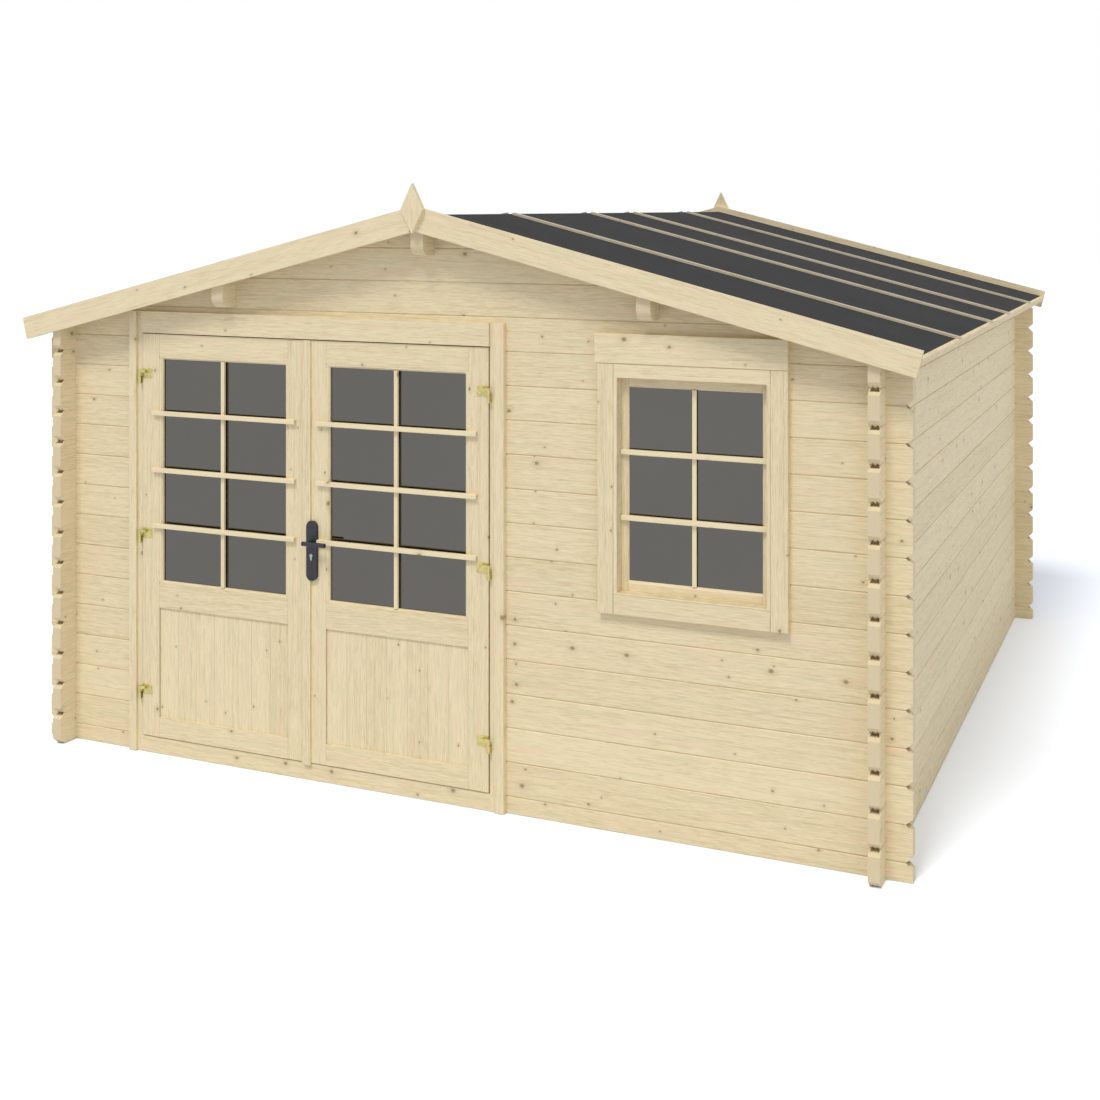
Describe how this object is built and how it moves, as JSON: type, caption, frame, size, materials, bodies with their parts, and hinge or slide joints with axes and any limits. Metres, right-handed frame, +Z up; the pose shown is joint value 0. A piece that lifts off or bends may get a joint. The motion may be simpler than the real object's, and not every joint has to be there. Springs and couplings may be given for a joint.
{
  "type": "log cabin",
  "caption": "Garden log cabin of pale spruce with interlocked corners, a low felted gable roof with diamond finials, glazed double doors and a barred window.",
  "frame": {"origin": "on the ground, under the middle of the cabin: centre of the bounding box's lowest face", "axes": "+X to the right along the front, as seen from outside, -Y towards the front with the doors, +Z up; the ridge runs along Y at X = 0"},
  "size_m": [4.118, 4.084, 2.5513],
  "materials": {
    "spruce": "planed, untreated",
    "felt": "mineral surfaced roofing felt",
    "glass": "clear",
    "brass": "yellow passivated",
    "black_handle": "satin black"
  },
  "bodies": {
    "cabin": {"back_finial": "spruce", "back_left_bargeboard": "spruce", "back_right_bargeboard": "spruce", "back_wall": "spruce", "door_header": "spruce", "door_left_post": "spruce", "door_right_post": "spruce", "door_sill": "spruce", "eave_strips": "spruce", "floor_boards": "spruce", "floor_joists": "spruce", "frame_hinges": "brass", "front_finial": "spruce", "front_gable": "spruce", "front_left_bargeboard": "spruce", "front_right_bargeboard": "spruce", "front_wall_left": "spruce", "front_wall_middle": "spruce", "front_wall_right": "spruce", "front_wall_under_window": "spruce", "left_purlin": "spruce", "left_roof_boards": "spruce", "left_roof_felt": "felt", "left_wall": "spruce", "ridge_purlin": "spruce", "right_purlin": "spruce", "right_roof_boards": "spruce", "right_roof_felt": "felt", "right_wall": "spruce", "roof_battens": "spruce", "window_frame": "spruce", "window_glass": "glass", "window_sash": "spruce"},
    "left_door": {"left_door_glass": "glass", "left_door_hinges": "brass", "left_door_leaf": "spruce", "left_door_panel": "spruce"},
    "right_door": {"right_door_glass": "glass", "right_door_hinges": "brass", "right_door_leaf": "spruce", "right_door_panel": "spruce", "door_cover_strip": "spruce", "lock_plates": "black_handle"},
    "door_handle": {"door_lever": "black_handle"}
  },
  "joints": [
    {"name": "left_door_hinge", "type": "hinge", "parent": "cabin", "child": "left_door", "pos_m": [-1.464, -1.93, 0.99], "axis": [0, 0, -1], "range_deg": [0, 160]},
    {"name": "right_door_hinge", "type": "hinge", "parent": "cabin", "child": "right_door", "pos_m": [0.293, -1.93, 0.99], "axis": [0, 0, 1], "range_deg": [0, 160]},
    {"name": "lever_turn", "type": "hinge", "parent": "right_door", "child": "door_handle", "pos_m": [-0.5515, -1.93, 1.024], "axis": [0, 1, 0], "range_deg": [0, 45], "stiffness_Nm_per_rad": 0.6, "springref_deg": -11.46}
  ]
}
